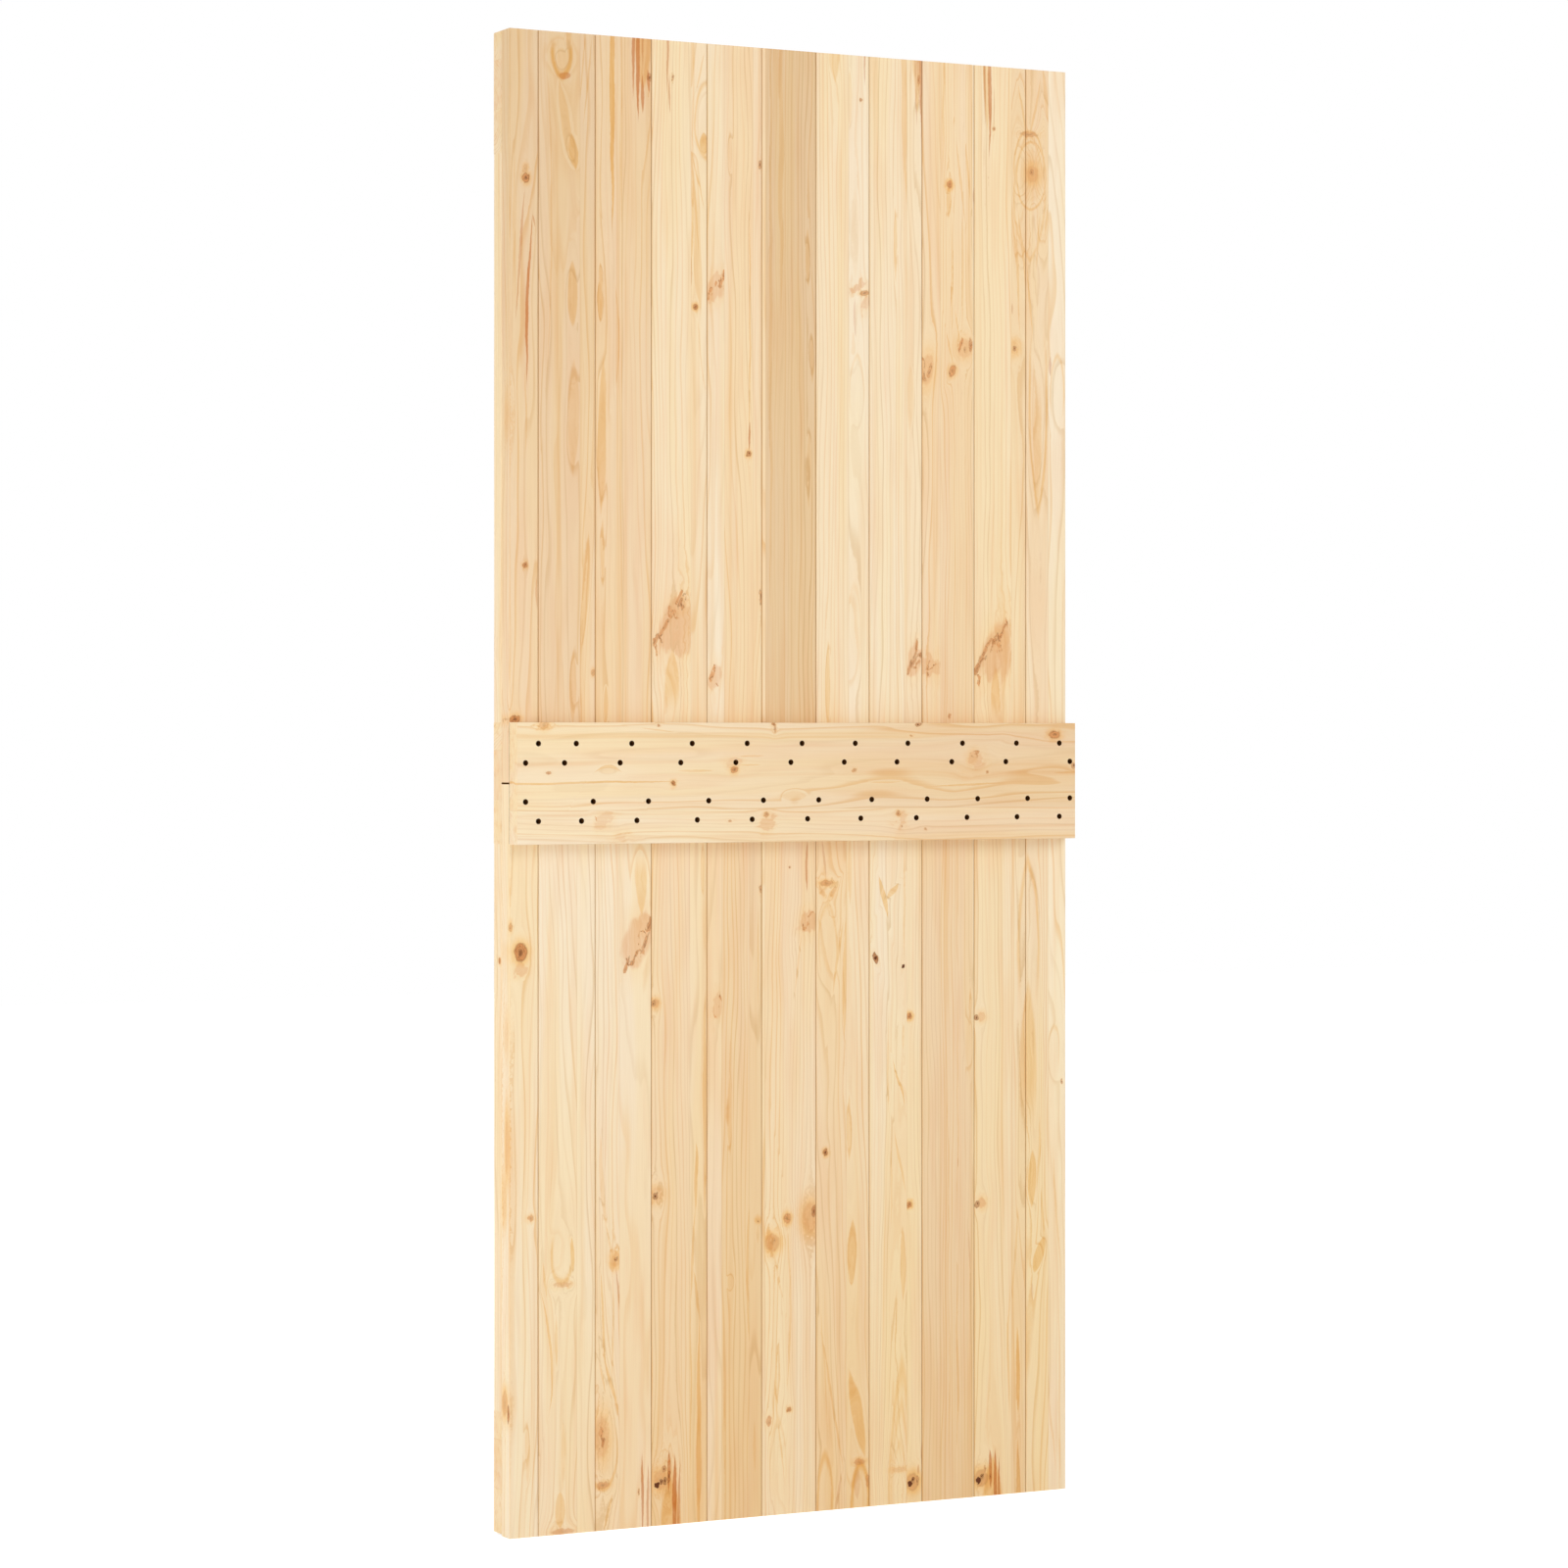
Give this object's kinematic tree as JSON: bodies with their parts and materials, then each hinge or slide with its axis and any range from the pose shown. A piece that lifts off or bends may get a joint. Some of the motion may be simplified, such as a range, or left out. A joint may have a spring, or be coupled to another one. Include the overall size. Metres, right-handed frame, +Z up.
{
  "type": "sliding door leaf",
  "caption": "Sliding barn door leaf of upright tongued and grooved pine boards, with a frame of rails and stiles on the room side and one wide screwed batten across the wall side.",
  "frame": {"origin": "middle of the top rail's room-side face, where the hanger straps of a sliding track bolt on", "axes": "+Z up along the door's height; +Y out of the room-side face, through the leaf's thickness; +X along the width, to the right as seen from the wall side"},
  "size_m": [0.9, 0.081, 2.1],
  "materials": {
    "pine_boards": "planed, unfinished",
    "pine_batten": "planed, unfinished",
    "pine_frame": "planed, unfinished",
    "screws": "black phosphate"
  },
  "bodies": {
    "root": {"upper_board_01": "pine_boards", "upper_board_02": "pine_boards", "upper_board_03": "pine_boards", "upper_board_04": "pine_boards", "upper_board_05": "pine_boards", "upper_board_06": "pine_boards", "upper_board_07": "pine_boards", "upper_board_08": "pine_boards", "upper_board_09": "pine_boards", "upper_board_10": "pine_boards", "upper_board_11": "pine_boards", "lower_board_01": "pine_boards", "lower_board_02": "pine_boards", "lower_board_03": "pine_boards", "lower_board_04": "pine_boards", "lower_board_05": "pine_boards", "lower_board_06": "pine_boards", "lower_board_07": "pine_boards", "lower_board_08": "pine_boards", "lower_board_09": "pine_boards", "lower_board_10": "pine_boards", "lower_board_11": "pine_boards", "top_rail": "pine_frame", "middle_rail": "pine_frame", "bottom_rail": "pine_frame", "upper_left_stile": "pine_frame", "upper_right_stile": "pine_frame", "lower_left_stile": "pine_frame", "lower_right_stile": "pine_frame", "wall_side_batten": "pine_batten"}
  },
  "joints": []
}
